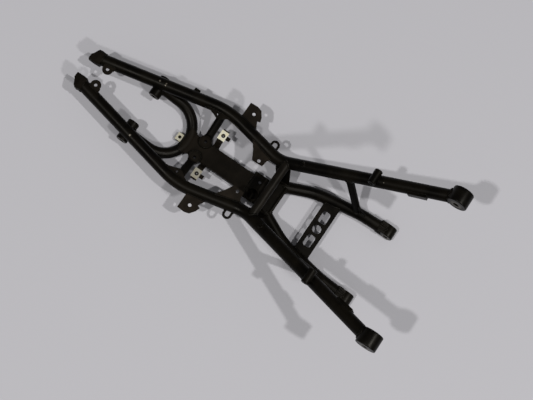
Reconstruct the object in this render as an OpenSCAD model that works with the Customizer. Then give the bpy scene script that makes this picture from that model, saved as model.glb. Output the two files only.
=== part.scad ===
// Rear subframe of a motorbike, welded from bent steel tube and pressed plate.
// It lies as it comes to rest on a floor: on the low front of the hoop behind and on
// the two lower barrels in front. X points to the front of the bike, Y to its left.
// Stations along X are measured from the rear end and moved to the middle at the end.

/* [Upper rails] */
// Outer diameter of the upper rails
rail_d = 24.5; // [22:0.5:27]
// Wall of every tube
tube_wall = 1.6; // [1.2:0.1:2.4]
// Half distance of the rails at their rear ends
tail_y = 32; // [28:0.5:38]
// Height of the rails at their rear ends
tail_z = 50; // [46:1:56]
// Station where the rails stand widest
wide_x = 283; // [275:1:291]
// Half distance of the rails at that station
wide_y = 89; // [84:1:94]
// Height of the rails at that station
wide_z = 56; // [52:1:60]
// Radius of the rear rail bend
wide_bend = 150; // [110:5:180]
// Station of the waist, where the rails stand closest and turn up
waist_x = 419; // [415:1:423]
// Half distance of the rails at the waist
waist_y = 59.5; // [57:0.5:62]
// Height of the rails at the waist
waist_z = 67; // [63:1:71]
// Radius of the front rail bend
waist_bend = 60; // [50:2:70]

/* [Upper mounts] */
// Station of the upper bolt axis
mount_x = 728; // [700:1:760]
// Half distance between the middles of the upper barrels
mount_y = 152; // [142:1:162]
// Height of the upper bolt axis
mount_z = 228; // [212:1:244]
// Outer diameter of an upper barrel
mount_d = 40; // [34:1:44]
// Length of an upper barrel
mount_len = 30; // [24:1:34]
// Bolt bore of an upper barrel
mount_bore = 10.5; // [8.5:0.5:12.5]

/* [Lower struts] */
// Outer diameter of the lower struts
strut_d = 24; // [20:0.5:25]
// Half distance of the struts at their bend
strut_y = 60; // [57:0.5:63]
// Height of the struts at their bend
strut_z = 18; // [16:0.5:22]
// Station of the strut bend
strut_x = 514; // [506:1:522]
// Station of the slight knee in front of that bend
knee_x = 612; // [604:1:618]
// Half distance of the struts at the knee
knee_y = 76.5; // [74:0.5:78]
// Radius of both strut bends
strut_bend = 150; // [100:5:200]
// Length of a strut inside the bridge box
root_inset = 21.6; // [19:0.2:24]
// Station of the lower bolt axis
foot_x = 676; // [664:1:696]
// Half distance between the middles of the lower barrels
foot_y = 79.5; // [77:0.5:83]
// Outer diameter of a lower barrel
foot_d = 27; // [26:0.5:31]
// Length of a lower barrel
foot_len = 24; // [20:1:30]
// Bolt bore of a lower barrel
foot_bore = 10.5; // [8.5:0.5:12.5]
// Length of the neck between a strut and its barrel
neck_len = 22; // [18:1:28]
// Diameter of the diagonal braces
brace_d = 15; // [12:0.5:17]
// Station of the upper end of a brace
brace_top_x = 548; // [541:1:555]
// Station of the lower end of a brace
brace_foot_x = 605; // [596:1:614]
// Station of the transverse bush on top of an arm
arm_bush_x = 592; // [585:1:602]
// Outer diameter of that bush
arm_bush_d = 16; // [14:0.5:18]
// Bore of that bush
arm_bush_bore = 8.5; // [6.5:0.5:9]
// Station of the flat pad on the inner side of an arm
arm_pad_x = 662; // [655:1:675]
// Length of that pad
arm_pad_len = 36; // [30:1:40]
// Distance by which that pad stands off its arm
arm_pad_out = 2.4; // [1.5:0.1:3]
// Station of the small threaded boss on an arm
arm_boss_x = 465; // [460:1:480]

/* [Tail] */
// Length of a tail lug
lug_len = 25; // [20:1:30]
// Height of a tail lug where it meets its rail
lug_h = 25; // [22:0.5:27]
// Width of a tail lug where it meets its rail
lug_w = 29; // [27:0.5:31]
// Height of a tail lug at its rear end
lug_tip_h = 12; // [9:0.5:16]
// Half distance between the inner faces of the tail lugs
lug_inner_y = 17.4; // [14:0.2:20]
// Width of a tail lug at its rear end
lug_tip_w = 14; // [10:0.5:18]
// Bolt bore across a tail lug
lug_bore = 6.5; // [5:0.5:8]
// Station of the hole in a rear tab
rear_tab_x = 44; // [38:1:52]
// Half distance between the holes of the rear tabs
rear_tab_y = 19.4; // [17:0.2:22]
// Height of the underside of a rear tab above the middle of its rail
rear_tab_rise = 6; // [3:0.5:7]
// Bolt hole of the small tabs
tab_hole = 6.5; // [5:0.5:8]
// Thickness of the tabs
tab_t = 3; // [2.5:0.25:4]
// Station of the transverse bushes under the tail
bush_x = 143; // [136:1:146]
// Outer diameter of the transverse bushes
bush_d = 24; // [20:0.5:26]
// Length of the transverse bushes
bush_len = 44; // [40:1:48]
// Bore of the transverse bushes
bush_bore = 10.5; // [8.5:0.5:12]
// Station of the small cable tab on the left rail
cable_tab_x = 209; // [200:1:220]

/* [Hoop] */
// Outer diameter of the hoop tube
hoop_d = 22; // [19:0.5:23]
// Half width of the hoop, to the middle of its tube
hoop_y = 56; // [52:0.5:58]
// Station of the front of the hoop, to the middle of its tube
hoop_x = 246; // [242:1:249]
// Half width of the saddle over the front of the hoop
saddle_y = 25; // [23:0.5:28]

/* [Centre plate] */
// Thickness of the pressed plates
plate_t = 3; // [2:0.25:4]
// Half width of the centre strip
strip_y = 21; // [19:0.5:23]
// Height of the underside of the centre plate
plate_z = 18; // [17:0.25:19]
// Distance of the centre plate's rear edge behind the middle of the hoop's front
plate_behind = 6; // [3:1:9]
// Station of the front edge of the centre strip
plate_front_x = 392; // [386:1:395]
// Depth of the folded edges of the centre strip
plate_fold = 8; // [5:0.5:10]
// Distance of the round bosses in front of the middle of the hoop's front
boss_ahead = 31; // [27:1:35]
// Half distance of the round bosses
boss_y = 19.1; // [17:0.2:21]
// Outer diameter of the round bosses
boss_d = 25; // [22:0.5:27]
// Height of the round bosses above the centre plate
boss_rise = 5; // [3:0.5:8]
// Depth of the dish in a round boss
boss_dish = 2; // [1:0.25:2.5]
// Diameter of the tubes between the bosses and the rails
link_d = 16.5; // [14:0.5:18]

/* [Front bridge] */
// Station of the rear face of the bridge box
deck_x = 428; // [424:1:432]
// Length of the bridge box
deck_len = 36; // [30:1:40]
// Half width of the bridge box
deck_y = 30; // [28:0.5:32]
// Height of the top of the bridge box
deck_z = 36; // [33:0.5:38]
// Height of the front lip above the bridge box
deck_lip = 5; // [3:0.5:8]
// Half width of the shelf behind the bridge box
shelf_y = 29; // [26:0.5:31]
// Diameter of the round socket in the shelf
shelf_hole = 22; // [18:0.5:24]
// Distance of that socket from the middle
shelf_hole_y = 14; // [13:0.5:15]
// Height of its collar above the shelf
shelf_collar = 3; // [2:0.5:4]
// Diameter of the front cross tube
cross_d = 17.5; // [15:0.5:19]
// Station of the front cross tube
cross_x = 435; // [433:1:438]
// Height of the front cross tube above the middle of the rails
cross_rise = 4; // [2:0.5:5]

/* [Perforated plate] */
// Station of the middle of the perforated plate
perf_x = 555; // [550:1:560]
// Length of the perforated plate along X
perf_len = 34; // [30:1:38]
// Thickness of the perforated plate
perf_t = 2.5; // [2:0.25:3]
// Depth of its folded edges
perf_fold = 8; // [5:0.5:9]
// Width of its two slots along X
slot_w = 17; // [14:0.5:20]
// Length of its two slots
slot_len = 26; // [22:0.5:28]
// Distance of the slots from the middle
slot_y = 27.5; // [26:0.5:29]
// Corner radius of the slots
slot_r = 5.5; // [4:0.5:6.5]
// Diameter of its middle hole
perf_hole = 18; // [14:0.5:20]

/* [Side tabs] */
// Station of the bolt hole in an outer side tab
side_x = 327; // [322:1:332]
// Half distance between the bolt holes of the outer side tabs
side_y = 109.5; // [107:0.5:112]
// Station of the bolt hole in an inner tab
inner_x = 387; // [384:1:390]
// Half distance between the bolt holes of the inner tabs
inner_y = 36.5; // [35:0.5:38]
// Station of a ring eye
ring_x = 395; // [390:1:400]
// Inner bend radius of a ring eye to the middle of its rod
ring_r = 7; // [6.5:0.1:8]
// Diameter of the rod of a ring eye
ring_rod = 5; // [4:0.2:5.6]

/* [Clip nuts] */
// Distance of the left and right clip nuts in front of the round bosses
clip_ahead = 23; // [21:1:27]
// Half distance between the left and right clip nuts
clip_y = 46; // [44:0.5:48]
// Height of the straps that carry the left and right clip nuts
strap_z = 32; // [29:0.5:35]
// Thickness of the straps
strap_t = 2.5; // [2:0.25:3]
// Length of a clip nut across the bike
clip_len = 20; // [17:0.5:22]
// Width of a clip nut along the bike
clip_w = 14.4; // [12:0.2:16]
// Thickness of the leaves of a clip nut
clip_t = 1.1; // [0.8:0.1:1.4]
// Diameter of the hole in the upper leaf
clip_hole = 8.4; // [7:0.2:9]
// Thread bore of a clip nut
clip_bore = 5.2; // [4:0.2:6]
// Depth of the threaded barrel of a clip nut
clip_barrel = 6.5; // [4:0.5:7]
// Size of the hoop's clip nut as a share of the other two
hoop_clip_share = 0.8; // [0.75:0.05:0.9]

/* [Hidden] */

$fn = 64;

// Small length by which a cut runs past the face that it opens
over = 1;
// Gap between a clip nut and its strap
clip_gap = 0.2;
// Swelling of a tube's radius in its bends
bend_swell = 0.06;
// Steel left between the bore of an arm bush and the arm
bush_wall = 1;

// Stations of the centre plate's rear edge, the round bosses and the clip nuts
plate_rear_x = hoop_x - plate_behind;
boss_x = hoop_x + boss_ahead;
clip_x = boss_x + clip_ahead;

rail_r = rail_d / 2;
strut_r = strut_d / 2;
hoop_r = hoop_d / 2;
mount_r = mount_d / 2;
foot_r = foot_d / 2;

// Corner points of the left rail and of the left strut
tail = [lug_len - over, tail_y, tail_z];
wide = [wide_x, wide_y, wide_z];
waist = [waist_x, waist_y, waist_z];
mount = [mount_x, mount_y, mount_z];
strut_root = [deck_x + deck_len - root_inset, deck_y - 3, deck_z - strut_r + 2];
strut_mid = [strut_x, strut_y, strut_z];
knee = [knee_x, knee_y, (strut_z + foot_r) / 2];
foot = [foot_x, foot_y, foot_r];

total_len = mount_x + mount_r;
arm_pitch = atan2(mount.z - waist.z, mount.x - waist.x);
arm_yaw = atan2(mount.y - waist.y, norm([mount.x - waist.x, mount.z - waist.z]));

black = [0.15, 0.14, 0.13];
brown = [0.22, 0.19, 0.16];
zinc = [0.88, 0.84, 0.62];

// Geometry helpers

function unit(v) = v / norm(v);
function mix(a, b, t) = a + (b - a) * t;
function at_station(a, b, x) = mix(a, b, (x - a.x) / (b.x - a.x));

// Middle of the left rail and of the left strut at a station
function rail_at(x) =
    x < wide.x ? at_station(tail, wide, x)
    : x < waist.x ? at_station(wide, waist, x)
    : at_station(waist, mount, x);
function strut_at(x) =
    x < strut_mid.x ? at_station(strut_root, strut_mid, x)
    : x < knee.x ? at_station(strut_mid, knee, x)
    : at_station(knee, foot, x);

// Angle by which a path turns at corner i, and how far its bend starts before that corner
function turn(p, i) = acos(unit(p[i] - p[i - 1]) * unit(p[i + 1] - p[i]));
function setback(p, bends, i) =
    i == 0 || i == len(p) - 1 ? 0 : bends[i - 1] * tan(turn(p, i) / 2);

module rod(a, b, r) {
    d = b - a;
    translate(a)
        rotate([0, acos(d.z / norm(d)), atan2(d.y, d.x)])
            cylinder(h = norm(d), r = r);
}

module elbow(a, corner, b, bend, r) {
    ahead = unit(corner - a);
    onward = unit(b - corner);
    angle = acos(ahead * onward);
    inward = unit(onward - (onward * ahead) * ahead);
    side = cross(-inward, ahead);
    centre = corner - ahead * bend * tan(angle / 2) + inward * bend;
    multmatrix([
        [-inward.x, ahead.x, side.x, centre.x],
        [-inward.y, ahead.y, side.y, centre.y],
        [-inward.z, ahead.z, side.z, centre.z]
    ])
        rotate_extrude(angle = angle, $fn = 360) translate([bend, 0]) circle(r = r, $fn = 48);
}

// Round bar along a path, with a bend of its own radius at each inner corner
module bent_rod(p, bends, r) {
    for (i = [0 : len(p) - 2]) {
        ahead = unit(p[i + 1] - p[i]);
        start = i == 0 ? 0 : setback(p, bends, i) - over;
        stop = i == len(p) - 2 ? 0 : setback(p, bends, i + 1) - over;
        rod(p[i] + ahead * start, p[i + 1] - ahead * stop, r);
    }
    for (i = [1 : len(p) - 2]) elbow(p[i - 1], p[i], p[i + 1], bends[i - 1], r + bend_swell);
}

// Turned barrel across the bike with chamfered rims
module barrel(centre, length, r, bore, chamfer = 1.2) {
    translate(centre - [0, length / 2, 0])
        rotate([-90, 0, 0])
            rotate_extrude()
                polygon([
                    [bore / 2, 0], [r - chamfer, 0], [r, chamfer],
                    [r, length - chamfer], [r - chamfer, length], [bore / 2, length]
                ]);
}

module across(centre, length, r) {
    translate(centre - [0, length / 2, 0]) rotate([-90, 0, 0]) cylinder(h = length, r = r);
}

// Flat plate with its underside at height z, drawn in plan
module plate_at(z, t) {
    translate([0, 0, z]) linear_extrude(height = t) children();
}

// Frame on the left arm: X along the arm, Z square to it and up
module on_arm(x) {
    translate(rail_at(x)) rotate([0, -arm_pitch, arm_yaw]) children();
}

module on_right() {
    mirror([0, 1, 0]) children();
}

module both_sides() {
    children();
    on_right() children();
}

// Solid outer forms that the neighbours are coped to

module rail_form(r = rail_r) {
    bent_rod([tail, wide, waist, mount], [wide_bend, waist_bend], r);
}

module strut_form(r = strut_r) {
    bent_rod([strut_root, strut_mid, knee, foot], [strut_bend, strut_bend], r);
}

// Middle of the left tail bush, which the left end of the hoop is coped to
bush_mid = rail_at(bush_x) - [0, 4, (rail_d + bush_d) * 0.36];

hoop_rise = bush_mid.z - hoop_r;
hoop_run = hoop_x - bush_x;
hoop_tilt = atan2(hoop_rise, hoop_run);
hoop_leg = norm([hoop_run, hoop_rise]) - hoop_y;

module hoop_form(r = hoop_r) {
    translate([hoop_x, 0, hoop_r])
        rotate([0, hoop_tilt, 0])
            translate([-hoop_y, 0, 0]) {
                rotate([0, 0, -90])
                    rotate_extrude(angle = 180, $fn = 180)
                        translate([hoop_y, 0]) circle(r = r, $fn = 48);
                both_sides() rod([-hoop_leg, hoop_y, 0], [0, hoop_y, 0], r);
            }
}

module bush_form() {
    across(bush_mid, bush_len, bush_d / 2);
}

// Block that carries the barrel of a lower mount
module neck_form() {
    translate([foot.x - neck_len, foot.y - foot_len / 2, foot_r * 0.12])
        cube([neck_len, foot_len, foot_d - foot_r * 0.24]);
}

module deck_form() {
    translate([deck_x, -deck_y, 0]) cube([deck_len, 2 * deck_y, deck_z + deck_lip]);
}

module cross_form() {
    across([cross_x, 0, rail_at(cross_x).z + cross_rise], 2 * rail_at(cross_x).y, cross_d / 2);
}

module link_form() {
    rod(rail_at(boss_x), [boss_x, boss_y, plate_z + plate_t / 2], link_d / 2);
}

// Sub-parts

module upper_rail() {
    color(black)
        difference() {
            rail_form();
            rail_form(rail_r - tube_wall);
            translate([0, 0, tail_z - rail_d]) cube([lug_len, tail_y + rail_d, 2 * rail_d]);
            across(mount, 4 * rail_d, mount_r);
        }
}

// Forged wedge with a rounded front end that the rail butts against
module tail_lug() {
    tip_outer = lug_inner_y + lug_tip_w;
    shoulder_x = lug_len * 0.62;
    bulge = tail_y - 1;
    color(brown)
        difference() {
            intersection() {
                plate_at(tail_z - lug_h / 2, lug_h)
                    polygon([
                        [0, lug_inner_y], [0, tip_outer - 3], [3, tip_outer],
                        [shoulder_x * 0.6, bulge + lug_w / 2 - 2], [shoulder_x, bulge + lug_w / 2],
                        [lug_len, bulge + lug_w / 2 - 1.5], [lug_len, bulge - lug_w / 2 + 1.5],
                        [shoulder_x, bulge - lug_w / 2]
                    ]);
                translate([0, tail_y + rail_d, tail_z])
                    rotate([90, 0, 0])
                        linear_extrude(height = 2 * rail_d)
                            polygon([
                                [0, -lug_tip_h / 2], [lug_len * 0.6, -lug_h / 2], [lug_len, -lug_h / 2],
                                [lug_len, lug_h / 2], [lug_len * 0.6, lug_h / 2], [0, lug_tip_h / 2]
                            ]);
                // Rounds the long edges of the wedge
                translate([-over, bulge, tail_z]) rotate([0, 90, 0]) cylinder(h = 2 * lug_len, d = lug_w + 2);
            }
            across([lug_len * 0.4, tail_y, tail_z], 3 * rail_d, lug_bore / 2);
        }
}

module rear_tab() {
    root = rail_at(rear_tab_x);
    tab_r = tab_hole / 2 + 7.25;
    root_half = tab_r + 1.5;
    low_z = root.z + rear_tab_rise;
    color(brown)
        difference() {
            plate_at(low_z, tab_t) {
                translate([rear_tab_x, rear_tab_y]) circle(r = tab_r);
                polygon([
                    [rear_tab_x - tab_r, rear_tab_y], [rear_tab_x + root_half, rear_tab_y + 2],
                    [rear_tab_x + root_half, root.y + 3], [rear_tab_x - root_half, root.y - 2]
                ]);
            }
            rail_form();
            translate([rear_tab_x, rear_tab_y, low_z - over])
                cylinder(h = tab_t + 2 * over, d = tab_hole);
        }
}

module tail_bush() {
    color(black)
        difference() {
            barrel(bush_mid, bush_len, bush_d / 2, bush_bore);
            rail_form();
        }
}

module cable_tab() {
    root = rail_at(cable_tab_x);
    color(black)
        difference() {
            translate([cable_tab_x - 6, root.y, root.z]) cube([12, rail_r + 5, tab_t]);
            rail_form();
        }
}

module hoop_tube() {
    color(black)
        difference() {
            hoop_form();
            hoop_form(hoop_r - tube_wall);
            both_sides() rail_form();
            both_sides() bush_form();
        }
}

module centre_plate() {
    neck_x = hoop_x + hoop_r;
    color(brown)
        difference() {
            union() {
                plate_at(plate_z, plate_t)
                    polygon([
                        [plate_rear_x, -saddle_y + 6], [hoop_x, -saddle_y], [neck_x + 3, -strip_y],
                        [plate_front_x, -strip_y], [plate_front_x, strip_y], [neck_x + 3, strip_y],
                        [hoop_x, saddle_y], [plate_rear_x, saddle_y - 6]
                    ]);
                // Saddle that wraps the front of the hoop
                intersection() {
                    hoop_form(hoop_r + plate_t - 0.5);
                    translate([plate_rear_x, -saddle_y, hoop_r + 2])
                        cube([2 * hoop_d, 2 * saddle_y, hoop_d]);
                }
                for (side = [-1, 1])
                    translate([boss_x + boss_d, side * (strip_y - plate_t / 2) - plate_t / 2, plate_z - plate_fold])
                        cube([plate_front_x - boss_x - boss_d - 14, plate_t, plate_fold + over]);
            }
            both_sides() translate([boss_x, boss_y, 0]) cylinder(h = 2 * plate_z, d = boss_d);
            hoop_form();
        }
}

module round_boss() {
    top = plate_z + plate_t + boss_rise;
    color(brown)
        translate([boss_x, boss_y, 0])
            difference() {
                translate([0, 0, plate_z - plate_fold]) cylinder(h = top - plate_z + plate_fold, d = boss_d);
                translate([0, 0, top - boss_dish]) cylinder(h = boss_dish + over, d = boss_d - 5);
                translate([0, 0, -over]) cylinder(h = 3 * top, d = tab_hole);
            }
}

module link_tube() {
    color(black)
        difference() {
            link_form();
            rod(rail_at(boss_x), [boss_x, boss_y, plate_z + plate_t / 2], link_d / 2 - tube_wall);
            rail_form();
            translate([boss_x, boss_y, 0]) cylinder(h = 4 * plate_z, d = boss_d);
            translate([plate_rear_x, -strip_y, plate_z - plate_fold])
                cube([plate_front_x - plate_rear_x, 2 * strip_y, plate_fold + plate_t]);
        }
}

module corner_web() {
    root = rail_at(boss_x);
    hole = [boss_x - 7, root.y - 18];
    rear_x = boss_x - 52;
    front_x = boss_x + 30;
    color(brown)
        difference() {
            plate_at(root.z + 4, tab_t)
                polygon([
                    [rear_x, rail_at(rear_x).y], [hole.x - 7, hole.y - 5], [hole.x, hole.y - 8],
                    [hole.x + 8, hole.y - 6], [front_x, rail_at(front_x).y], [boss_x, root.y]
                ]);
            rail_form();
            link_form();
            translate([hole.x, hole.y, 0]) cylinder(h = 4 * root.z, d = tab_hole - 1.5);
        }
}

// Folded strap from the centre plate to the clip nut
module clip_strap() {
    strap_w = clip_w - clip_t - clip_gap;
    step_y = clip_y - clip_len / 2 - 4;
    end_y = clip_y + clip_len / 2 + 3;
    color(brown)
        difference() {
            union() {
                translate([clip_x + strap_w / 2, 0, 0])
                    rotate([90, 0, -90])
                        linear_extrude(height = strap_w)
                            polygon([
                                [-strip_y, plate_z], [-step_y, strap_z], [-end_y, strap_z],
                                [-end_y, strap_z + strap_t], [-step_y + 1, strap_z + strap_t],
                                [-strip_y, plate_z + plate_t]
                            ]);
                translate([clip_x, clip_y - 4, strap_z]) cube([strap_w / 2 + 9, 8, strap_t]);
            }
            translate([clip_x, clip_y, 0]) cylinder(h = 2 * strap_z, d = clip_hole);
        }
}

// Folded sheet nut over an edge: two leaves joined at their rear edge and a threaded barrel
module clip_nut_at(x, y, z, t, share = 1) {
    inner = t + 2 * clip_gap;
    w = clip_w * share;
    length = clip_len * share;
    hole = clip_hole * share;
    color(zinc)
        translate([x, y, z - clip_gap])
            difference() {
                union() {
                    for (leaf = [-clip_t, inner])
                        translate([-w / 2, -length / 2, leaf]) cube([w, length, clip_t]);
                    translate([-w / 2 - clip_t, -length / 2, -clip_t]) cube([clip_t, length, inner + 2 * clip_t]);
                    translate([0, 0, -clip_t - clip_barrel * share])
                        cylinder(h = clip_barrel * share, d = hole + 1.5);
                }
                translate([0, 0, -clip_t - clip_barrel - over]) cylinder(h = 3 * clip_barrel, d = clip_bore * share);
                cylinder(h = inner + 2 * clip_t, d = hole);
            }
}

module clip_nut() {
    clip_nut_at(clip_x, clip_y, strap_z, strap_t);
}

hoop_clip_w = clip_w * hoop_clip_share;
hoop_clip_len = clip_len * hoop_clip_share;
hoop_tab_x = hoop_x - hoop_r - hoop_clip_w / 2 - 0.5;
hoop_tab_z = hoop_r - 3;

module hoop_clip_tab() {
    tab_end = hoop_tab_x - hoop_clip_w / 2 + clip_gap;
    color(brown)
        difference() {
            translate([tab_end, -hoop_clip_len / 2 - 1, hoop_tab_z])
                cube([hoop_x - tab_end, hoop_clip_len + 2, strap_t]);
            translate([hoop_tab_x, 0, 0]) cylinder(h = 2 * hoop_tab_z + 10, d = clip_hole * hoop_clip_share);
            hoop_form();
        }
}

module hoop_clip_nut() {
    clip_nut_at(hoop_tab_x, 0, hoop_tab_z, strap_t, hoop_clip_share);
}

module side_tab() {
    rear_x = side_x - 18;
    front_x = side_x + 19;
    outer = side_y + 17;
    color(brown)
        difference() {
            plate_at(rail_at(side_x).z + 2, tab_t)
                polygon([
                    [rear_x, rail_at(rear_x).y], [rear_x, outer - 1], [side_x - 2, outer],
                    [side_x + 8, outer - 3], [side_x + 16, side_y + 3], [side_x + 19, side_y - 6],
                    [side_x + 13, side_y - 8], [front_x, side_y - 20], [front_x, rail_at(front_x).y]
                ]);
            rail_form();
            translate([side_x, side_y, 0]) cylinder(h = 4 * wide_z, d = tab_hole + 0.5);
        }
}

// Round rod bent to a U whose two legs end on the rail
module ring_eye() {
    root = rail_at(ring_x);
    middle = [ring_x, root.y + rail_r + ring_r - 1, root.z - 4];
    color(black)
        difference() {
            union() {
                translate(middle)
                    rotate_extrude(angle = 180) translate([ring_r, 0]) circle(d = ring_rod, $fn = 32);
                for (side = [-1, 1]) {
                    leg = middle + [side * ring_r, 0, 0];
                    rod(leg + [0, 0.5, 0], [leg.x, root.y, leg.z], ring_rod / 2 - 0.03);
                }
            }
            rail_form();
        }
}

module inner_tab() {
    hole_r = (tab_hole + 0.5) / 2;
    rear_x = inner_x - rail_d * 1.67;
    front_x = inner_x + rail_d;
    color(brown)
        difference() {
            plate_at(rail_at(inner_x).z + 4, tab_t)
                polygon([
                    [rear_x, rail_at(rear_x).y], [inner_x - hole_r - 17.5, inner_y + 11],
                    [inner_x - hole_r - 8.5, inner_y - hole_r - 2.5],
                    [inner_x + hole_r + 7.5, inner_y - hole_r - 1.5],
                    [inner_x + hole_r + 9.5, inner_y + 9], [front_x, rail_at(front_x).y]
                ]);
            rail_form();
            translate([inner_x, inner_y, 0]) cylinder(h = 4 * wide_z, r = hole_r);
        }
}

// Height of the underside of the shelf, and station of the socket and hole in it
shelf_z = plate_z - plate_t;
shelf_hole_x = (plate_front_x + deck_x) / 2 + 1;

// Shelf between the centre plate and the bridge, with a blind socket
module bridge_shelf() {
    shelf_rear = plate_front_x - 12;
    color(brown)
        difference() {
            union() {
                plate_at(shelf_z, plate_t) {
                    translate([shelf_rear, -strip_y]) square([deck_x - shelf_rear, 2 * strip_y]);
                    translate([plate_front_x, -shelf_y]) square([deck_x - plate_front_x, 2 * shelf_y]);
                }
                translate([shelf_hole_x, -shelf_hole_y, over])
                    cylinder(h = plate_z + shelf_collar - over, d = shelf_hole + 5);
            }
            translate([shelf_hole_x, -shelf_hole_y, plate_t]) cylinder(h = 2 * plate_z, d = shelf_hole);
            translate([shelf_hole_x, shelf_hole_y, 0]) cylinder(h = 2 * plate_z, d = tab_hole);
        }
}

// Pressed bridge between the strut roots, open below, with a rolled lip in front
module front_bridge() {
    lip_r = 3.2;
    color(black) {
        translate([deck_x, -deck_y, shelf_z]) cube([plate_t, 2 * deck_y, deck_z - shelf_z]);
        translate([deck_x, -deck_y, deck_z - plate_t]) cube([deck_len, 2 * deck_y, plate_t]);
        translate([deck_x + deck_len - plate_t, -deck_y, shelf_z])
            cube([plate_t, 2 * deck_y, deck_z + deck_lip - lip_r - shelf_z]);
        // Rolled upper edge of the front wall
        across([deck_x + deck_len - lip_r, 0, deck_z + deck_lip - lip_r], 2 * deck_y, lip_r);
        for (side = [-1, 1])
            translate([deck_x, side * (deck_y - plate_t / 2) - plate_t / 2, shelf_z])
                cube([deck_len, plate_t, deck_z - shelf_z]);
    }
}

module front_cross_tube() {
    middle = [cross_x, 0, rail_at(cross_x).z + cross_rise];
    color(black)
        difference() {
            cross_form();
            across(middle, 2 * rail_at(cross_x).y + over, cross_d / 2 - tube_wall);
            both_sides() rail_form();
        }
}

// Leaning web that carries the root of a strut and the bridge on the rail
module root_gusset() {
    low = [deck_x + 22, strut_at(deck_x + 22).y, strut_at(deck_x + 22).z];
    high = rail_at(cross_x - 8);
    lean = atan2(high.z - low.z, high.y - low.y);
    reach = norm([high.y - low.y, high.z - low.z]);
    color(black)
        difference() {
            translate([0, low.y, low.z])
                rotate([lean, 0, 0])
                    translate([0, 0, -plate_t / 2])
                        linear_extrude(height = plate_t)
                            polygon([
                                [low.x - 12, 0], [low.x + 16, 0], [cross_x + 10, reach],
                                [cross_x - 26, reach]
                            ]);
            rail_form();
            strut_form();
            deck_form();
            cross_form();
        }
}

module lower_strut() {
    color(black)
        difference() {
            strut_form();
            strut_form(strut_r - tube_wall);
            deck_form();
            neck_form();
            across(foot, 4 * strut_d, foot_r);
        }
}

module lower_barrel() {
    color(brown) {
        barrel(foot, foot_len, foot_r, foot_bore);
        difference() {
            neck_form();
            across(foot, 2 * foot_len, foot_r - 1.5);
        }
    }
}

module upper_barrel() {
    color(brown) barrel(mount, mount_len, mount_r, mount_bore);
}

// Rounded slot of the perforated plate
module slot(y) {
    translate([perf_x, y]) {
        square([slot_w, slot_len - 2 * slot_r], center = true);
        square([slot_w - 2 * slot_r, slot_len], center = true);
        for (i = [-1, 1], j = [-1, 1])
            translate([i * (slot_w / 2 - slot_r), j * (slot_len / 2 - slot_r)]) circle(r = slot_r);
    }
}

module perforated_plate() {
    end = strut_at(perf_x);
    color(brown)
        difference() {
            union() {
                plate_at(end.z + 4, perf_t)
                    difference() {
                        translate([perf_x - perf_len / 2, -end.y]) square([perf_len, 2 * end.y]);
                        for (side = [-1, 1]) slot(side * slot_y);
                        translate([perf_x, 0]) circle(d = perf_hole);
                    }
                for (edge = [-perf_len / 2, perf_len / 2 - perf_t])
                    translate([perf_x + edge, -end.y, end.z + 4 - perf_fold])
                        cube([perf_t, 2 * end.y, perf_fold + perf_t]);
            }
            both_sides() strut_form();
        }
}

// Upper end of a brace, towards the inner side of the arm
brace_top = rail_at(brace_top_x) - [0, rail_r * 0.5, 0];

module brace() {
    top = brace_top;
    low = strut_at(brace_foot_x);
    color(black)
        difference() {
            rod(top, low, brace_d / 2);
            rod(top, low, brace_d / 2 - tube_wall);
            rail_form();
            strut_form();
        }
}

// Small web in the sharp corner in front of the foot of a brace
module brace_web() {
    top = brace_top;
    low = strut_at(brace_foot_x);
    web_len = brace_d / 2 + 18.5;
    web_high = strut_r + 24;
    color(black)
        difference() {
            translate([low.x, low.y, low.z])
                rotate([atan2(top.z - low.z, top.y - low.y), 0, 0])
                    translate([0, 0, -tab_t / 2])
                        linear_extrude(height = tab_t)
                            polygon([[-brace_d / 2, 0], [web_len, 0], [-brace_d * 0.67, web_high]]);
            rod(top, low, brace_d / 2);
            strut_form();
        }
}

module arm_boss() {
    color(black)
        difference() {
            on_arm(arm_boss_x)
                difference() {
                    cylinder(h = rail_r + 3, d = 10);
                    cylinder(h = 2 * rail_r, d = 5);
                }
            rail_form();
        }
}

module arm_bush() {
    lift = rail_r + arm_bush_bore / 2 + bush_wall;
    middle = rail_at(arm_bush_x) + lift * [-sin(arm_pitch), 0, cos(arm_pitch)];
    color(black)
        difference() {
            barrel(middle, rail_d + 5, arm_bush_d / 2, arm_bush_bore);
            rail_form();
        }
}

module arm_pad() {
    color(black)
        difference() {
            on_arm(arm_pad_x)
                translate([-arm_pad_len / 2, -rail_r - arm_pad_out, -rail_r * 0.65])
                    cube([arm_pad_len, arm_pad_out + rail_r * 0.4, rail_r * 1.3]);
            rail_form();
        }
}

// Moves the stations so that the middle of the whole length is at X = 0
module placed() {
    translate([-total_len / 2, 0, 0]) children();
}

placed() upper_rail();  // left_upper_rail
placed() on_right() upper_rail();  // right_upper_rail
placed() tail_lug();  // left_tail_lug
placed() on_right() tail_lug();  // right_tail_lug
placed() rear_tab();  // left_rear_tab
placed() on_right() rear_tab();  // right_rear_tab
placed() tail_bush();  // left_tail_bush
placed() on_right() tail_bush();  // right_tail_bush
placed() cable_tab();
placed() hoop_tube();
placed() hoop_clip_tab();
placed() hoop_clip_nut();
placed() centre_plate();
placed() round_boss();  // left_round_boss
placed() on_right() round_boss();  // right_round_boss
placed() link_tube();  // left_link_tube
placed() on_right() link_tube();  // right_link_tube
placed() corner_web();  // left_corner_web
placed() on_right() corner_web();  // right_corner_web
placed() clip_strap();  // left_clip_strap
placed() on_right() clip_strap();  // right_clip_strap
placed() clip_nut();  // left_clip_nut
placed() on_right() clip_nut();  // right_clip_nut
placed() side_tab();  // left_side_tab
placed() on_right() side_tab();  // right_side_tab
placed() ring_eye();  // left_ring_eye
placed() on_right() ring_eye();  // right_ring_eye
placed() inner_tab();  // left_inner_tab
placed() on_right() inner_tab();  // right_inner_tab
placed() bridge_shelf();
placed() front_bridge();
placed() front_cross_tube();
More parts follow.
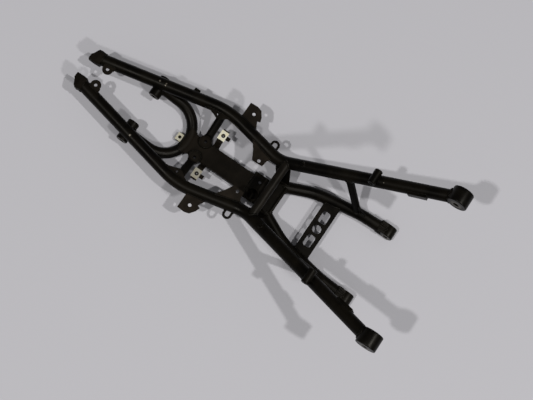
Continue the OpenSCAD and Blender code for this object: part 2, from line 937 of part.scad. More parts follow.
placed() root_gusset();  // left_root_gusset
placed() on_right() root_gusset();  // right_root_gusset
placed() lower_strut();  // left_lower_strut
placed() on_right() lower_strut();  // right_lower_strut
placed() lower_barrel();  // left_lower_barrel
placed() on_right() lower_barrel();  // right_lower_barrel
placed() perforated_plate();
placed() brace();  // left_brace
placed() on_right() brace();  // right_brace
placed() brace_web();  // left_brace_web
placed() on_right() brace_web();  // right_brace_web
placed() arm_boss();  // left_arm_boss
placed() on_right() arm_boss();  // right_arm_boss
placed() arm_bush();  // left_arm_bush
placed() on_right() arm_bush();  // right_arm_bush
placed() arm_pad();  // left_arm_pad
placed() on_right() arm_pad();  // right_arm_pad
placed() upper_barrel();  // left_upper_barrel
placed() on_right() upper_barrel();  // right_upper_barrel
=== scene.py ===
"""Finish of a welded motorbike rear subframe: powder coat, weld seams, zinc clip nuts."""

import logging
import math
from dataclasses import dataclass, field
from enum import Enum

import bmesh
import bpy
from mathutils import Matrix, Vector
from mathutils.bvhtree import BVHTree


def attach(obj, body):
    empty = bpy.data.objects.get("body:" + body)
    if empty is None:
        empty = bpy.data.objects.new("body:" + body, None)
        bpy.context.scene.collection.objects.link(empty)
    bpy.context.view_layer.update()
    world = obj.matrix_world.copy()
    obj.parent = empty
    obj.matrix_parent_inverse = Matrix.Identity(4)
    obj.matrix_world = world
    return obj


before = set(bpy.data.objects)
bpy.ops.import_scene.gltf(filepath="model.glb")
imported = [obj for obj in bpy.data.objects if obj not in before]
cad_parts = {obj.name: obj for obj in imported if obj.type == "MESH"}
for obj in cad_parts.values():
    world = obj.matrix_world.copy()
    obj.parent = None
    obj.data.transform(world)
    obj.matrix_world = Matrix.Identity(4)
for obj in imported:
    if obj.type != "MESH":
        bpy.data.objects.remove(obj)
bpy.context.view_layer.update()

log = logging.getLogger("subframe")

# Size of the picture that the camera is set for
PICTURE_WIDTH = 533
PICTURE_HEIGHT = 400

ROOT = "root"
TUBE_SLOT = "black_tube"


# Colours of bare steel: in fresh chips and under worn washer marks
CHIP_STEEL = (0.125, 0.110, 0.088)
WASHER_STEEL = (0.085, 0.080, 0.074)


def mm(value: float) -> float:
    """Returns a length in metres for one in millimetres."""
    return value / 1000.0


class Sides(Enum):
    """The two mirrored halves of the subframe."""

    LEFT = "left"
    RIGHT = "right"

    def node(self, name: str) -> str:
        """Returns the name of this side's CAD node."""
        return f"{self.value}_{name}"


class Wear(Enum):
    """How much a coated surface has been handled."""

    CLEAN = 0.15
    USED = 0.45
    RUBBED = 0.8


# Node groups


class GroupBuilder:
    """Small helper that lays out the nodes of one group or material."""

    def __init__(self, tree: bpy.types.NodeTree) -> None:
        """Keeps the tree that nodes are added to."""
        self.tree = tree

    def add(self, kind: str, **settings: object) -> bpy.types.Node:
        """Adds a node and sets its properties.

        Args:
            kind: Blender's name of the node type.
            settings: properties of the node by name.

        Returns:
            The new node.
        """
        node = self.tree.nodes.new(kind)
        for name, value in settings.items():
            setattr(node, name, value)
        return node

    def join(self, source: bpy.types.NodeSocket, target: bpy.types.NodeSocket) -> None:
        """Links one socket to another."""
        self.tree.links.new(source, target)

    def math(self, operation: str, first: object, second: object = 0.0, clamp: bool = False) -> bpy.types.NodeSocket:
        """Adds a Math node.

        Args:
            operation: name of the operation.
            first: socket or number for the first input.
            second: socket or number for the second input.
            clamp: whether the result is held between 0 and 1.

        Returns:
            The result socket.
        """
        node = self.add("ShaderNodeMath", operation=operation, use_clamp=clamp)
        for slot, value in enumerate((first, second)):
            if isinstance(value, bpy.types.NodeSocket):
                self.join(value, node.inputs[slot])
            else:
                node.inputs[slot].default_value = value
        return node.outputs[0]

    def spread(self, value: bpy.types.NodeSocket, low: float, high: float, to_low: float = 0.0, to_high: float = 1.0) -> bpy.types.NodeSocket:
        """Maps a range of a value smoothly to another and clamps it.

        Args:
            value: socket that is mapped.
            low: value that becomes to_low.
            high: value that becomes to_high.
            to_low: lowest result.
            to_high: highest result.

        Returns:
            The mapped socket.
        """
        node = self.add("ShaderNodeMapRange", interpolation_type="SMOOTHSTEP")
        self.join(value, node.inputs["Value"])
        for name, number in (("From Min", low), ("From Max", high), ("To Min", to_low), ("To Max", to_high)):
            node.inputs[name].default_value = number
        return node.outputs["Result"]

    def blend(self, factor: bpy.types.NodeSocket, first: object, second: object) -> bpy.types.NodeSocket:
        """Mixes two colours.

        Args:
            factor: socket from 0, all first, to 1, all second.
            first: socket or colour.
            second: socket or colour.

        Returns:
            The mixed colour socket.
        """
        node = self.add("ShaderNodeMix", data_type="RGBA")
        self.join(factor, node.inputs[0])
        for socket, value in ((node.inputs[6], first), (node.inputs[7], second)):
            if isinstance(value, bpy.types.NodeSocket):
                self.join(value, socket)
            else:
                socket.default_value = (*value, 1.0)
        return node.outputs[2]

    def noise(self, where: bpy.types.NodeSocket, scale: float, detail: float = 3.0, roughness: float = 0.55) -> bpy.types.NodeSocket:
        """Adds a noise texture.

        Args:
            where: socket with the position.
            scale: features to the metre.
            detail: octaves of the noise.
            roughness: strength of the finer octaves.

        Returns:
            The noise value.
        """
        node = self.add("ShaderNodeTexNoise")
        self.join(where, node.inputs["Vector"])
        node.inputs["Scale"].default_value = scale
        node.inputs["Detail"].default_value = detail
        node.inputs["Roughness"].default_value = roughness
        return node.outputs["Fac"]


def new_group(name: str, inputs: dict[str, tuple[str, object]], outputs: dict[str, str]) -> tuple[GroupBuilder, bpy.types.Node, bpy.types.Node]:
    """Makes an empty shader node group with named sockets.

    Args:
        name: name of the group.
        inputs: socket type and default value by input name.
        outputs: socket type by output name.

    Returns:
        The builder, the group's input node and its output node.
    """
    tree = bpy.data.node_groups.new(name, "ShaderNodeTree")
    for label, (kind, value) in inputs.items():
        socket = tree.interface.new_socket(label, in_out="INPUT", socket_type=kind)
        socket.default_value = value
    for label, kind in outputs.items():
        tree.interface.new_socket(label, in_out="OUTPUT", socket_type=kind)
    builder = GroupBuilder(tree)
    return builder, builder.add("NodeGroupInput"), builder.add("NodeGroupOutput")


@dataclass(frozen=True)
class SharedEffects:
    """Node groups that every coated material places with its own values."""

    grain: bpy.types.NodeTree
    mottle: bpy.types.NodeTree
    dust: bpy.types.NodeTree
    chips: bpy.types.NodeTree
    rubbing: bpy.types.NodeTree
    washer: bpy.types.NodeTree

    @classmethod
    def build(cls) -> "SharedEffects":
        """Builds all groups once."""
        return cls(cls._grain(), cls._mottle(), cls._dust(), cls._chips(), cls._rubbing(), cls._washer())

    @staticmethod
    def _grain() -> bpy.types.NodeTree:
        """Fine orange peel of powder coat over the drawn lines of the steel."""
        builder, given, result = new_group(
            "coat_grain",
            {"Position": ("NodeSocketVector", (0, 0, 0)), "Peel": ("NodeSocketFloat", 1.0)},
            {"Height": "NodeSocketFloat"},
        )
        peel = builder.noise(given.outputs["Position"], 1500.0, 2.0)
        waves = builder.noise(given.outputs["Position"], 260.0, 3.0)
        both = builder.math("ADD", peel, builder.math("MULTIPLY", waves, 1.6))
        builder.join(builder.math("MULTIPLY", both, given.outputs["Peel"]), result.inputs["Height"])
        return builder.tree

    @staticmethod
    def _mottle() -> bpy.types.NodeTree:
        """Slow change between the coat's cool and warm black."""
        builder, given, result = new_group(
            "coat_mottle",
            {
                "Position": ("NodeSocketVector", (0, 0, 0)),
                "Cool": ("NodeSocketColor", (0.01, 0.01, 0.01, 1)),
                "Warm": ("NodeSocketColor", (0.03, 0.02, 0.01, 1)),
            },
            {"Color": "NodeSocketColor", "Gloss Change": "NodeSocketFloat"},
        )
        broad = builder.noise(given.outputs["Position"], 22.0, 4.0)
        fine = builder.noise(given.outputs["Position"], 420.0, 4.0, 0.7)
        share = builder.math("ADD", builder.spread(broad, 0.36, 0.66, 0.0, 0.75), builder.spread(fine, 0.45, 0.75, 0.0, 0.4), True)
        builder.join(builder.blend(share, given.outputs["Cool"], given.outputs["Warm"]), result.inputs["Color"])
        builder.join(builder.math("SUBTRACT", builder.math("MULTIPLY", share, 0.16), 0.08), result.inputs["Gloss Change"])
        return builder.tree

    @staticmethod
    def _dust() -> bpy.types.NodeTree:
        """Dust that lies on faces which look up, thicker in patches."""
        builder, given, result = new_group(
            "settled_dust",
            {"Position": ("NodeSocketVector", (0, 0, 0)), "Amount": ("NodeSocketFloat", 0.3)},
            {"Mask": "NodeSocketFloat"},
        )
        geometry = builder.add("ShaderNodeNewGeometry")
        split = builder.add("ShaderNodeSeparateXYZ")
        builder.join(geometry.outputs["Normal"], split.inputs[0])
        upward = builder.spread(split.outputs["Z"], 0.35, 0.98)
        patches = builder.spread(builder.noise(given.outputs["Position"], 75.0, 5.0, 0.65), 0.38, 0.72)
        specks = builder.spread(builder.noise(given.outputs["Position"], 1900.0, 1.0), 0.62, 0.74)
        cover = builder.math("ADD", builder.math("MULTIPLY", patches, 0.65), builder.math("MULTIPLY", specks, 0.5), True)
        mask = builder.math("MULTIPLY", builder.math("MULTIPLY", upward, cover), given.outputs["Amount"], True)
        builder.join(mask, result.inputs["Mask"])
        return builder.tree

    @staticmethod
    def _chips() -> bpy.types.NodeTree:
        """Ragged chip of bare metal round one point."""
        builder, given, result = new_group(
            "coat_chip",
            {
                "Position": ("NodeSocketVector", (0, 0, 0)),
                "Centre": ("NodeSocketVector", (0, 0, 0)),
                "Radius": ("NodeSocketFloat", 0.003),
            },
            {"Mask": "NodeSocketFloat"},
        )
        apart = builder.add("ShaderNodeVectorMath", operation="DISTANCE")
        builder.join(given.outputs["Position"], apart.inputs[0])
        builder.join(given.outputs["Centre"], apart.inputs[1])
        ragged = builder.spread(builder.noise(given.outputs["Position"], 620.0, 4.0, 0.7), 0.25, 0.75, 0.35, 1.6)
        reach = builder.math("MULTIPLY", given.outputs["Radius"], ragged)
        inside = builder.math("DIVIDE", apart.outputs["Value"], reach)
        builder.join(builder.spread(inside, 1.0, 0.82), result.inputs["Mask"])
        return builder.tree

    @staticmethod
    def _rubbing() -> bpy.types.NodeTree:
        """Thin polished scratches that run with the tubes, in worn places."""
        builder, given, result = new_group(
            "rubbed_streaks",
            {"Position": ("NodeSocketVector", (0, 0, 0)), "Amount": ("NodeSocketFloat", 0.3)},
            {"Mask": "NodeSocketFloat"},
        )
        stretch = builder.add("ShaderNodeMapping")
        stretch.inputs["Scale"].default_value = (0.12, 1.0, 0.7)
        builder.join(given.outputs["Position"], stretch.inputs["Vector"])
        lines = builder.spread(builder.noise(stretch.outputs[0], 900.0, 5.0, 0.75), 0.60, 0.70)
        places = builder.spread(builder.noise(given.outputs["Position"], 34.0, 3.0), 0.50, 0.68)
        builder.join(
            builder.math("MULTIPLY", builder.math("MULTIPLY", lines, places), given.outputs["Amount"], True),
            result.inputs["Mask"],
        )
        return builder.tree


    @staticmethod
    def _washer() -> bpy.types.NodeTree:
        """Ring that a washer has rubbed on an end face round a cross bore."""
        builder, given, result = new_group(
            "washer_mark",
            {
                "Position": ("NodeSocketVector", (0, 0, 0)),
                "Centre": ("NodeSocketVector", (0, 0, 0)),
                "Radius": ("NodeSocketFloat", 0.01),
            },
            {"Mask": "NodeSocketFloat"},
        )
        offset = builder.add("ShaderNodeVectorMath", operation="SUBTRACT")
        builder.join(given.outputs["Position"], offset.inputs[0])
        builder.join(given.outputs["Centre"], offset.inputs[1])
        flat = builder.add("ShaderNodeVectorMath", operation="MULTIPLY")
        builder.join(offset.outputs[0], flat.inputs[0])
        flat.inputs[1].default_value = (1.0, 0.0, 1.0)
        apart = builder.add("ShaderNodeVectorMath", operation="LENGTH")
        builder.join(flat.outputs[0], apart.inputs[0])
        geometry = builder.add("ShaderNodeNewGeometry")
        split = builder.add("ShaderNodeSeparateXYZ")
        builder.join(geometry.outputs["Normal"], split.inputs[0])
        facing = builder.spread(builder.math("ABSOLUTE", split.outputs["Y"]), 0.9, 0.99)
        ragged = builder.spread(builder.noise(given.outputs["Position"], 320.0, 5.0, 0.7), 0.3, 0.7, 0.8, 1.15)
        inside = builder.math("DIVIDE", apart.outputs["Value"], builder.math("MULTIPLY", given.outputs["Radius"], ragged))
        ring = builder.spread(inside, 1.0, 0.85)
        worn = builder.spread(builder.noise(given.outputs["Position"], 700.0, 4.0, 0.7), 0.35, 0.6, 0.35, 1.0)
        builder.join(builder.math("MULTIPLY", builder.math("MULTIPLY", ring, worn), facing, True), result.inputs["Mask"])
        return builder.tree


# Finishes


@dataclass(frozen=True)
class PowderCoat:
    """Satin black powder coat with a warm sheen."""

    name: str
    cool: tuple[float, float, float] = (0.0004, 0.0003, 0.0002)
    warm: tuple[float, float, float] = (0.0032, 0.0024, 0.0012)
    roughness: float = 0.40
    specular: float = 0.085
    sheen: tuple[float, float, float] = (1.0, 0.94, 0.84)
    wear: Wear = Wear.USED
    dust: float = 0.09
    peel: float = 1.0
    chips: tuple[tuple[tuple[float, float, float], float], ...] = ()
    washers: tuple[tuple[tuple[float, float, float], float], ...] = ()

    def material(self, shared: SharedEffects) -> bpy.types.Material:
        """Builds the material.

        Args:
            shared: node groups to place.

        Returns:
            The finished material.
        """
        material = bpy.data.materials.new(self.name)
        material.use_nodes = True
        builder = GroupBuilder(material.node_tree)
        shader = material.node_tree.nodes["Principled BSDF"]
        position = builder.add("ShaderNodeTexCoord").outputs["Object"]

        mottle = builder.add("ShaderNodeGroup", node_tree=shared.mottle)
        mottle.inputs["Cool"].default_value = (*self.cool, 1.0)
        mottle.inputs["Warm"].default_value = (*self.warm, 1.0)
        rubbing = builder.add("ShaderNodeGroup", node_tree=shared.rubbing)
        rubbing.inputs["Amount"].default_value = self.wear.value
        dust = builder.add("ShaderNodeGroup", node_tree=shared.dust)
        dust.inputs["Amount"].default_value = self.dust
        grain = builder.add("ShaderNodeGroup", node_tree=shared.grain)
        grain.inputs["Peel"].default_value = self.peel
        for node in (mottle, rubbing, dust, grain):
            builder.join(position, node.inputs["Position"])

        polished = builder.blend(rubbing.outputs["Mask"], mottle.outputs["Color"], (0.016, 0.013, 0.009))
        colour = builder.blend(dust.outputs["Mask"], polished, (0.026, 0.021, 0.014))
        roughness = builder.math("ADD", mottle.outputs["Gloss Change"], self.roughness)
        roughness = builder.math("SUBTRACT", roughness, builder.math("MULTIPLY", rubbing.outputs["Mask"], 0.12))
        roughness = builder.math("ADD", roughness, builder.math("MULTIPLY", dust.outputs["Mask"], 0.3), True)
        metallic = None
        bare = [(shared.washer, centre, radius, WASHER_STEEL) for centre, radius in self.washers]
        bare += [(shared.chips, centre, radius, CHIP_STEEL) for centre, radius in self.chips]
        for group, centre, radius, steel in bare:
            mark = builder.add("ShaderNodeGroup", node_tree=group)
            mark.inputs["Centre"].default_value = centre
            mark.inputs["Radius"].default_value = radius
            builder.join(position, mark.inputs["Position"])
            mask = mark.outputs["Mask"]
            colour = builder.blend(mask, colour, steel)
            metallic = mask if metallic is None else builder.math("MAXIMUM", metallic, mask)
        if metallic is not None:
            builder.join(builder.math("MULTIPLY", metallic, 0.5), shader.inputs["Metallic"])
        builder.join(colour, shader.inputs["Base Color"])
        builder.join(roughness, shader.inputs["Roughness"])

        bump = builder.add("ShaderNodeBump")
        bump.inputs["Strength"].default_value = 0.22
        bump.inputs["Distance"].default_value = mm(0.12)
        builder.join(grain.outputs["Height"], bump.inputs["Height"])
        builder.join(bump.outputs["Normal"], shader.inputs["Normal"])
        shader.inputs["Specular IOR Level"].default_value = self.specular
        shader.inputs["Specular Tint"].default_value = (*self.sheen, 1.0)
        return material


@dataclass(frozen=True)
class ZincPlate:
    """Yellow passivated zinc on spring steel."""

    name: str = "zinc_plate"
    pale: tuple[float, float, float] = (0.92, 0.89, 0.72)
    golden: tuple[float, float, float] = (0.80, 0.72, 0.47)
    roughness: float = 0.34

    def material(self, shared: SharedEffects) -> bpy.types.Material:
        """Builds the material.

        Args:
            shared: node groups to place.

        Returns:
            The finished material.
        """
        material = bpy.data.materials.new(self.name)
        material.use_nodes = True
        builder = GroupBuilder(material.node_tree)
        shader = material.node_tree.nodes["Principled BSDF"]
        position = builder.add("ShaderNodeTexCoord").outputs["Object"]
        cloud = builder.spread(builder.noise(position, 210.0, 4.0, 0.6), 0.42, 0.70)
        colour = builder.blend(cloud, self.pale, self.golden)
        rubbing = builder.add("ShaderNodeGroup", node_tree=shared.rubbing)
        rubbing.inputs["Amount"].default_value = Wear.USED.value
        builder.join(position, rubbing.inputs["Position"])
        colour = builder.blend(rubbing.outputs["Mask"], colour, (0.9, 0.88, 0.8))
        builder.join(colour, shader.inputs["Base Color"])
        builder.join(builder.math("ADD", builder.math("MULTIPLY", cloud, 0.12), self.roughness), shader.inputs["Roughness"])
        shader.inputs["Metallic"].default_value = 0.55
        grain = builder.add("ShaderNodeGroup", node_tree=shared.grain)
        grain.inputs["Peel"].default_value = 0.6
        builder.join(position, grain.inputs["Position"])
        bump = builder.add("ShaderNodeBump")
        bump.inputs["Strength"].default_value = 0.2
        bump.inputs["Distance"].default_value = mm(0.08)
        builder.join(grain.outputs["Height"], bump.inputs["Height"])
        builder.join(bump.outputs["Normal"], shader.inputs["Normal"])
        return material


# Weld seams


@dataclass
class SeamFinder:
    """Finds where the cut end of one CAD node meets the surface of another."""

    reach: float = mm(0.35)
    facing: float = -0.8
    inside_reach: float = mm(24)

    def meshes(self, name: str) -> bmesh.types.BMesh:
        """Returns a merged copy of a CAD node's mesh."""
        copy = bmesh.new()
        copy.from_mesh(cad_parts[name].data)
        bmesh.ops.remove_doubles(copy, verts=copy.verts, dist=mm(0.004))
        bmesh.ops.dissolve_degenerate(copy, edges=copy.edges, dist=mm(0.004))
        copy.normal_update()
        copy.faces.ensure_lookup_table()
        return copy

    def chains(self, cut: str, onto: str) -> list[list[tuple[Vector, Vector]]]:
        """Finds the seams between two nodes.

        Args:
            cut: node whose end was cut to the other's form.
            onto: node that it sits on.

        Returns:
            Chains of points with the direction that points out of the corner.
        """
        piece = self.meshes(cut)
        seat = self.meshes(onto)
        seat_tree = BVHTree.FromBMesh(seat)
        own_tree = BVHTree.FromBMesh(piece)
        touching = {}
        for face in piece.faces:
            place, normal, _, distance = seat_tree.find_nearest(face.calc_center_median())
            if place is not None and distance < self.reach and normal.dot(face.normal) < self.facing:
                touching[face] = normal
        edges = []
        for edge in piece.edges:
            if len(edge.link_faces) != 2:
                continue
            held = [face for face in edge.link_faces if face in touching]
            if len(held) != 1:
                continue
            free = edge.link_faces[0] if edge.link_faces[1] is held[0] else edge.link_faces[1]
            outward = (free.normal + touching[held[0]]).normalized()
            middle = (edge.verts[0].co + edge.verts[1].co) / 2
            hit = own_tree.ray_cast(middle + outward * mm(0.4), outward, self.inside_reach)
            if hit[0] is None:
                edges.append((edge, outward))
        chains = self._linked(edges)
        piece.free()
        seat.free()
        return chains

    def _linked(self, edges: list[tuple[bmesh.types.BMEdge, Vector]]) -> list[list[tuple[Vector, Vector]]]:
        """Joins edges that share corners into chains of points.

        Args:
            edges: edges with their outward directions.

        Returns:
            Chains of points with outward directions.
        """
        at_corner = {}
        for edge, outward in edges:
            for corner in edge.verts:
                at_corner.setdefault(corner, []).append((edge, outward))
        unused = {edge for edge, _ in edges}
        chains = []
        starts = sorted(at_corner, key=lambda corner: (len(at_corner[corner]) != 1, corner.index))
        for start in starts:
            while any(edge in unused for edge, _ in at_corner[start]):
                corner = start
                chain = []
                while True:
                    onward = [(edge, outward) for edge, outward in at_corner[corner] if edge in unused]
                    if not onward:
                        chain.append((corner.co.copy(), chain[-1][1]))
                        break
                    edge, outward = onward[0]
                    unused.discard(edge)
                    chain.append((corner.co.copy(), outward))
                    corner = edge.other_vert(corner)
                chains.append(chain)
        return chains


@dataclass
class WeldBead:
    """Rippled bead that is swept along a seam."""

    radius: float = mm(2.0)
    ripple: float = 0.16
    pitch: float = mm(2.4)
    step: float = mm(0.8)
    sides: int = 8
    shortest: float = mm(5)
    sunk: float = 0.25

    @staticmethod
    def closed(chain: list[tuple[Vector, Vector]]) -> bool:
        """Says whether a seam runs back to its start."""
        return (chain[0][0] - chain[-1][0]).length < mm(0.5)

    def resampled(self, chain: list[tuple[Vector, Vector]]) -> list[tuple[Vector, Vector]]:
        """Spaces the points of a seam evenly and smooths them.

        Args:
            chain: points with outward directions.

        Returns:
            Evenly spaced points with outward directions.
        """
        lengths = [0.0]
        for (a, _), (b, _) in zip(chain, chain[1:]):
            lengths.append(lengths[-1] + (b - a).length)
        total = lengths[-1]
        if total < self.shortest:
            return []
        count = max(6, int(total / self.step))
        closed = self.closed(chain)
        points = []
        segment = 0
        for index in range(count + 1):
            want = total * index / count
            while segment < len(lengths) - 2 and lengths[segment + 1] < want:
                segment += 1
            span = max(lengths[segment + 1] - lengths[segment], 1e-9)
            share = (want - lengths[segment]) / span
            a, b = chain[segment], chain[segment + 1]
            points.append([a[0].lerp(b[0], share), a[1].lerp(b[1], share)])
        if closed:
            points[-1] = [part.copy() for part in points[0]]
        for _ in range(3):
            before = [(p.copy(), d.copy()) for p, d in points]
            last = len(points) - 1
            for index in range(len(points)):
                if not closed and index in (0, last):
                    continue
                back = before[index - 1] if index > 0 else before[last - 1]
                ahead = before[index + 1] if index < last else before[1]
                points[index][0] = (back[0] + before[index][0] * 2 + ahead[0]) / 4
                points[index][1] = (back[1] + before[index][1] * 2 + ahead[1]) / 4
        return [(p, d.normalized()) for p, d in points if d.length > 1e-6]

    def sweep(self, chain: list[tuple[Vector, Vector]], radius: float) -> bpy.types.Mesh | None:
        """Makes the bead along one seam.

        Args:
            chain: raw seam.
            radius: half width of the bead.

        Returns:
            The bead's mesh, or None where the seam is too short for one.
        """
        points = self.resampled(chain)
        if len(points) < 4:
            return None
        bead = bmesh.new()
        ring = bmesh.ops.create_circle(bead, cap_ends=True, segments=self.sides, radius=1.0)["verts"]
        rest = [corner.co.copy() for corner in ring]
        cap = ring[0].link_faces[0]
        closed = self.closed(chain)
        travelled = 0.0
        last = len(points) - 1
        total = sum((b - a).length for (a, _), (b, _) in zip(points, points[1:]))
        waves = max(1, round(total / self.pitch))
        drifts = max(1, round(waves * 0.37))
        for index, (point, outward) in enumerate(points):
            after, before = min(index + 1, last), max(index - 1, 0)
            if closed and index in (0, last):
                after, before = 1, last - 1
            ahead = (points[after][0] - points[before][0]).normalized()
            across = (outward - ahead * outward.dot(ahead)).normalized()
            if index:
                travelled += (point - points[index - 1][0]).length
                pushed = bmesh.ops.extrude_discrete_faces(bead, faces=[cap])["faces"]
                cap = pushed[0]
                ring = list(cap.verts)
            phase = math.tau * travelled / total
            swell = 1 + self.ripple * math.sin(phase * waves) + 0.06 * math.sin(phase * drifts + 1.3)
            fade = 1.0 if closed else min(1.0, 0.45 + 0.3 * min(index, last - index))
            turn = Matrix((across, ahead.cross(across), ahead)).transposed()
            centre = point - outward * radius * self.sunk
            for corner, place in zip(ring, rest):
                corner.co = centre + turn @ (place * radius * swell * fade)
        if closed:
            bmesh.ops.delete(bead, geom=[cap], context="FACES_ONLY")
            bmesh.ops.remove_doubles(bead, verts=bead.verts, dist=mm(0.002))
        else:
            bmesh.ops.holes_fill(bead, edges=[edge for edge in bead.edges if edge.is_boundary])
        bmesh.ops.recalc_face_normals(bead, faces=bead.faces)
        for face in bead.faces:
            face.smooth = True
        mesh = bpy.data.meshes.new("bead")
        bead.to_mesh(mesh)
        bead.free()
        return mesh


@dataclass(frozen=True)
class Joint:
    """One welded joint: the piece that was cut, what it sits on and the bead's half width."""

    cut: str
    onto: str
    radius: float = mm(1.9)


def link_piece(name: str, mesh: bpy.types.Mesh) -> bpy.types.Object:
    """Puts a finished mesh in the scene as a piece of the one body.

    Args:
        name: name of the piece.
        mesh: its mesh, with its place in it.

    Returns:
        The new object.
    """
    piece = bpy.data.objects.new(name, mesh)
    bpy.context.scene.collection.objects.link(piece)
    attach(piece, ROOT)
    return piece


def nut_middle(node: str) -> tuple[Vector, float]:
    """Finds the axis of a clip nut.

    Args:
        node: name of the nut's CAD node.

    Returns:
        A point on its axis at its lowest height, and that height.
    """
    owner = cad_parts[node]
    corners = [owner.matrix_world @ corner.co for corner in owner.data.vertices]
    low = Vector([min(corner[axis] for corner in corners) for axis in range(3)])
    high = Vector([max(corner[axis] for corner in corners) for axis in range(3)])
    fold = mm(1.1)
    return Vector(((low.x + fold + high.x) / 2, (low.y + high.y) / 2, low.z)), low.z


@dataclass
class ClipThread:
    """Formed thread in the barrel of a clip nut."""

    node: str
    share: float = 1.0
    bore: float = mm(2.6)
    depth: float = mm(7.2)
    pitch: float = mm(1.0)
    height: float = mm(0.45)
    steps: int = 28

    def build(self) -> bpy.types.Object:
        """Spins the ridge of the thread up the bore.

        Returns:
            The thread as a piece of its own.
        """
        middle, low = nut_middle(self.node)
        radius = self.bore * self.share + mm(0.04)
        height = self.height * self.share
        turns = int(self.depth * (0.55 + 0.45 * self.share) / self.pitch) - 1
        thread = bmesh.new()
        profile = [
            thread.verts.new((middle.x + radius, middle.y, low + self.pitch * 0.15)),
            thread.verts.new((middle.x + radius - height, middle.y, low + self.pitch * 0.5)),
            thread.verts.new((middle.x + radius, middle.y, low + self.pitch * 0.85)),
        ]
        ridge = thread.faces.new(profile)
        bmesh.ops.spin(
            thread, geom=[ridge, *ridge.edges, *ridge.verts], cent=middle, axis=(0, 0, 1),
            dvec=(0, 0, self.pitch / self.steps), angle=math.tau * turns, steps=self.steps * turns,
        )
        bmesh.ops.holes_fill(thread, edges=[edge for edge in thread.edges if edge.is_boundary])
        bmesh.ops.recalc_face_normals(thread, faces=thread.faces)
        mesh = bpy.data.meshes.new(f"{self.node}_thread")
        thread.to_mesh(mesh)
        thread.free()
        piece = link_piece(mesh.name, mesh)
        log.info("%s: %d turns, %d faces", piece.name, turns, len(mesh.polygons))
        return piece


@dataclass
class NutHoleShade:
    """Dark rims inside a clip nut: the black burr of the sheet's hole, a little off the loose nut, which also darkens
    the bore as painted shade, and a black ring of painted shade on its barrel's mouth.
    """

    node: str
    share: float = 1.0
    sheet_rim: tuple[float, float] = (mm(5.5), mm(3.1))
    aside: tuple[float, float, float] = (mm(-0.7), mm(2.0), 0.0)
    sheet_span: tuple[float, float] = (mm(3.7), mm(1.4))
    shade_mouth_rim: tuple[float, float] = (mm(5.2), mm(2.62))
    shade_mouth_span: tuple[float, float] = (mm(4.05), mm(3.86))
    lead: float = mm(0.4)
    steps: int = 48

    def spin_rim(self, rims: bmesh.types.BMesh, axis: Vector, outline: list[tuple[float, float]]) -> None:
        """Spins an outline of radii and heights round an upright axis.

        Args:
            rims: mesh to add to.
            axis: a point on the axis.
            outline: radius and height of each corner.
        """
        corners = [rims.verts.new((axis.x + radius, axis.y, height)) for radius, height in outline]
        edges = [rims.edges.new((one, other)) for one, other in zip(corners, corners[1:] + corners[:1])]
        bmesh.ops.spin(
            rims, geom=[*corners, *edges], cent=axis, axis=(0, 0, 1), angle=math.tau, steps=self.steps,
            use_merge=True,
        )

    def build(self) -> bpy.types.Object:
        """Builds both rims.

        Returns:
            The rims as a piece of their own.
        """
        middle, _ = nut_middle(self.node)
        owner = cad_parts[self.node]
        top = max((owner.matrix_world @ corner.co).z for corner in owner.data.vertices)
        rims = bmesh.new()
        wide, narrow = (radius * self.share for radius in self.sheet_rim)
        low, high = (top - drop for drop in self.sheet_span)
        self.spin_rim(rims, middle + Vector(self.aside) * self.share, [
            (wide, low), (narrow + self.lead, low), (narrow, low + self.lead),
            (narrow, high - self.lead), (narrow + self.lead, high), (wide, high),
        ])
        # Black ring on the zinc round the barrel's mouth: painted shade.
        wide, narrow = (radius * self.share for radius in self.shade_mouth_rim)
        low, high = (top - drop for drop in self.shade_mouth_span)
        self.spin_rim(rims, middle, [(wide, low), (narrow, low), (narrow, high), (wide, high)])
        bmesh.ops.remove_doubles(rims, verts=rims.verts, dist=mm(0.005))
        bmesh.ops.recalc_face_normals(rims, faces=rims.faces)
        mesh = bpy.data.meshes.new(f"{self.node}_rims")
        rims.to_mesh(mesh)
        rims.free()
        piece = link_piece(mesh.name, mesh)
        log.info("%s: %d faces", piece.name, len(mesh.polygons))
        return piece


@dataclass(frozen=True)
class EdgeBreak:
    """Small rounding of the sharp edges of pressed and turned nodes."""

    width: float
    segments: int = 2
    angle: float = math.radians(38)

    def apply(self, node: str) -> None:
        """Adds the rounding to a CAD node after its corners are merged.

        Args:
            node: name of the CAD node.
        """
        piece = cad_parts[node]
        weld = piece.modifiers.new("merge", "WELD")
        weld.merge_threshold = mm(0.004)
        rounding = piece.modifiers.new("edge_break", "BEVEL")
        rounding.width = self.width
        rounding.segments = self.segments
        rounding.limit_method = "ANGLE"
        rounding.angle_limit = self.angle
        rounding.use_clamp_overlap = True
        rounding.harden_normals = False
        log.info("%s: edges broken by %.2f mm", node, self.width * 1000)


